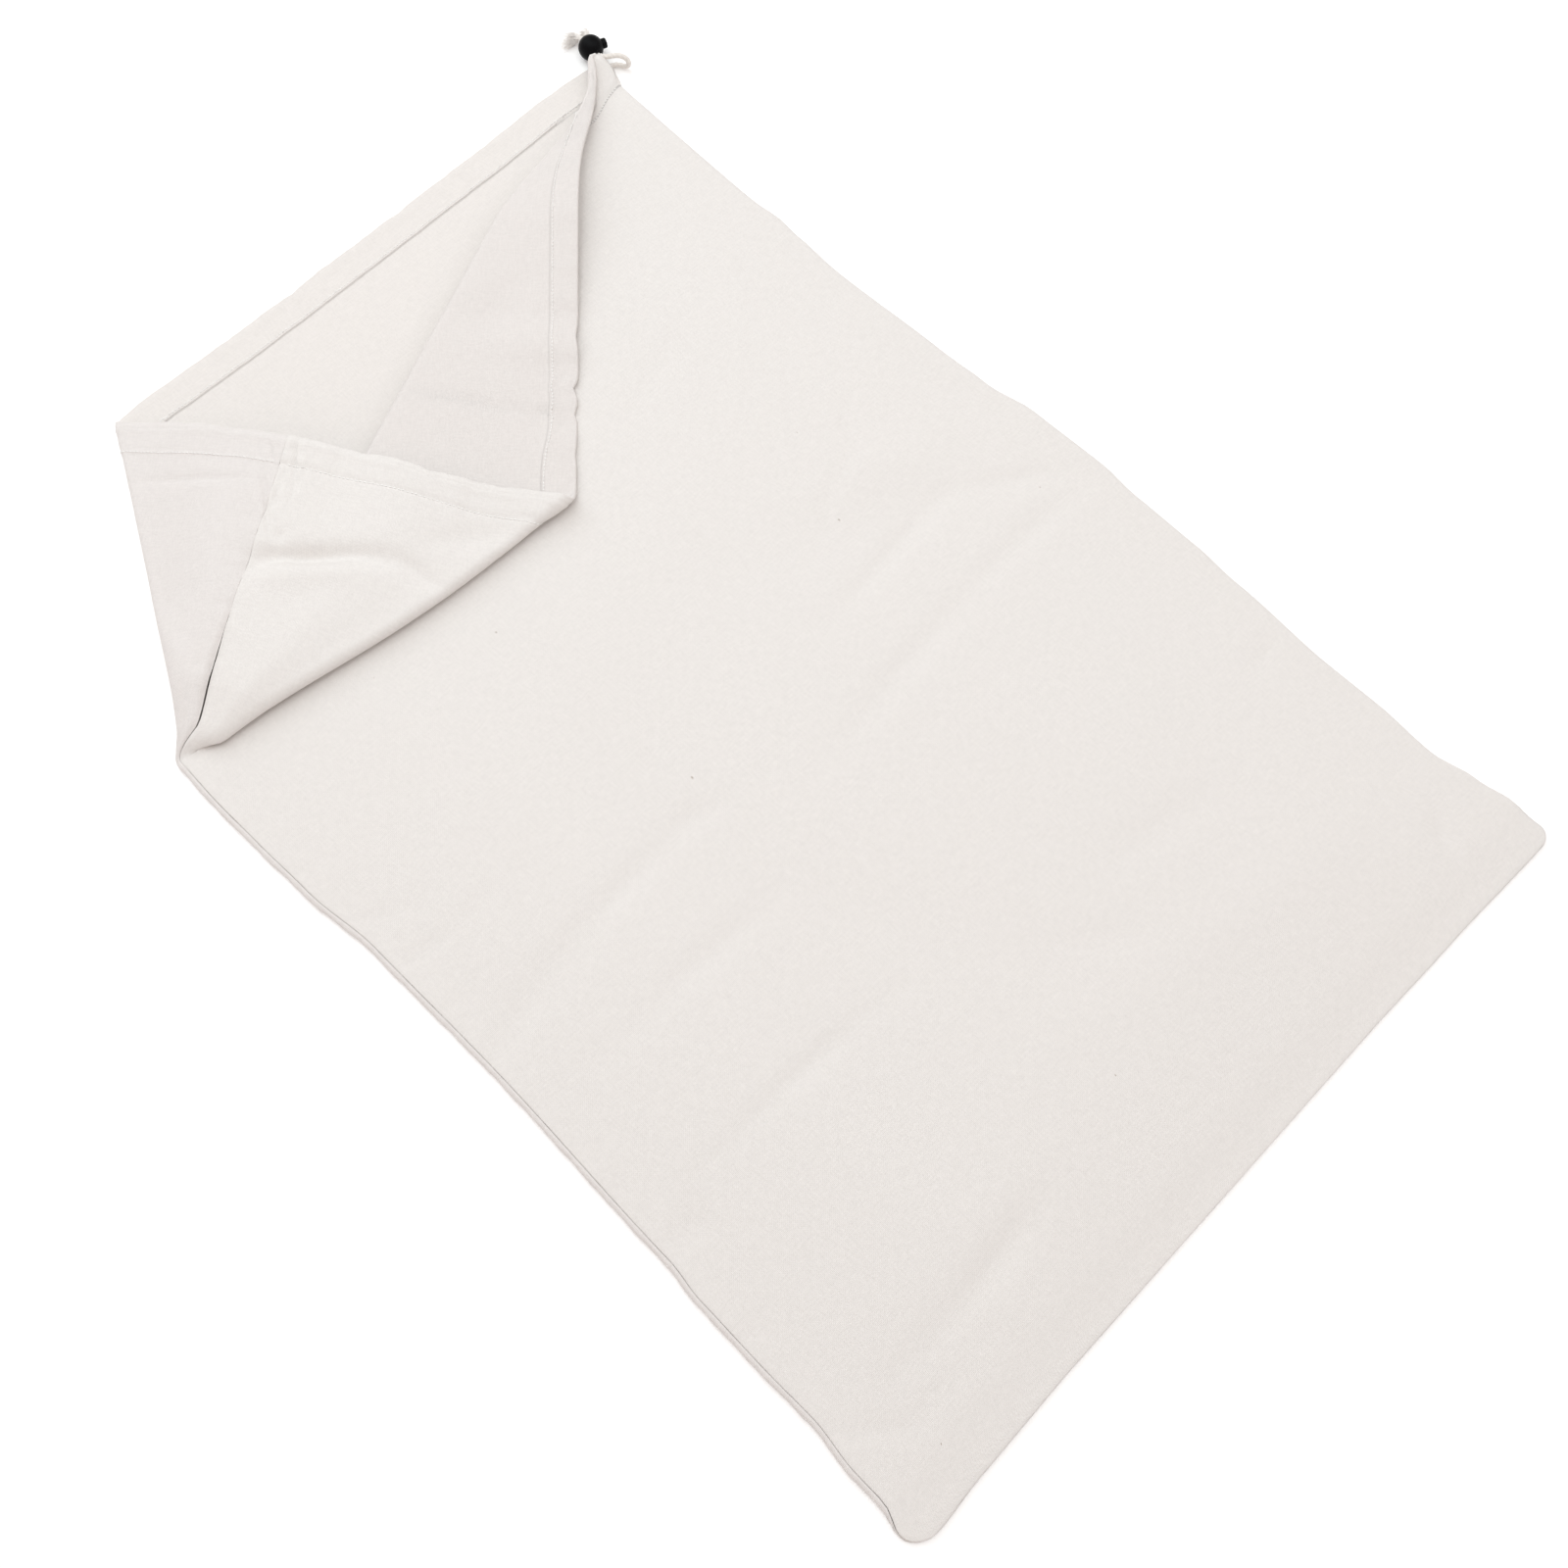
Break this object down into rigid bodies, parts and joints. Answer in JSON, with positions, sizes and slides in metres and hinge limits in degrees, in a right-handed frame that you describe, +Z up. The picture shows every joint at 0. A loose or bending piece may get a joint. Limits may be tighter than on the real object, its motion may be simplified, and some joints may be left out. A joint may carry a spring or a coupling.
{
  "type": "canvas laundry bag",
  "caption": "Flat cotton canvas bag lying with its mouth open and a top corner folded back over the front, with a hemmed channel for a drawcord and a ball cord lock.",
  "frame": {"origin": "under the middle of the bag, on the surface it lies on", "axes": "+Y from the bottom edge towards the mouth, +X from the left seam towards the right side, +Z up from the surface"},
  "size_m": [0.6295, 0.9657, 0.0357],
  "materials": {
    "canvas": "natural undyed plain weave, matte",
    "cotton_cord": "natural cotton cord, matte",
    "black_plastic": "moulded, satin to matte"
  },
  "bodies": {
    "bag": {"front_panel": "canvas", "back_panel": "canvas", "lock_body": "black_plastic", "cord_straight": "cotton_cord", "cord_looped": "cotton_cord", "tuft_straight": "cotton_cord", "tuft_looped": "cotton_cord"},
    "button": {"lock_button": "black_plastic"}
  },
  "joints": [
    {"name": "button_press", "type": "slide", "parent": "bag", "child": "button", "axis": [-0.9368, 0.3499, 0], "range_m": [0, 0.002], "stiffness_N_per_m": 1200, "springref_m": -0.001}
  ]
}
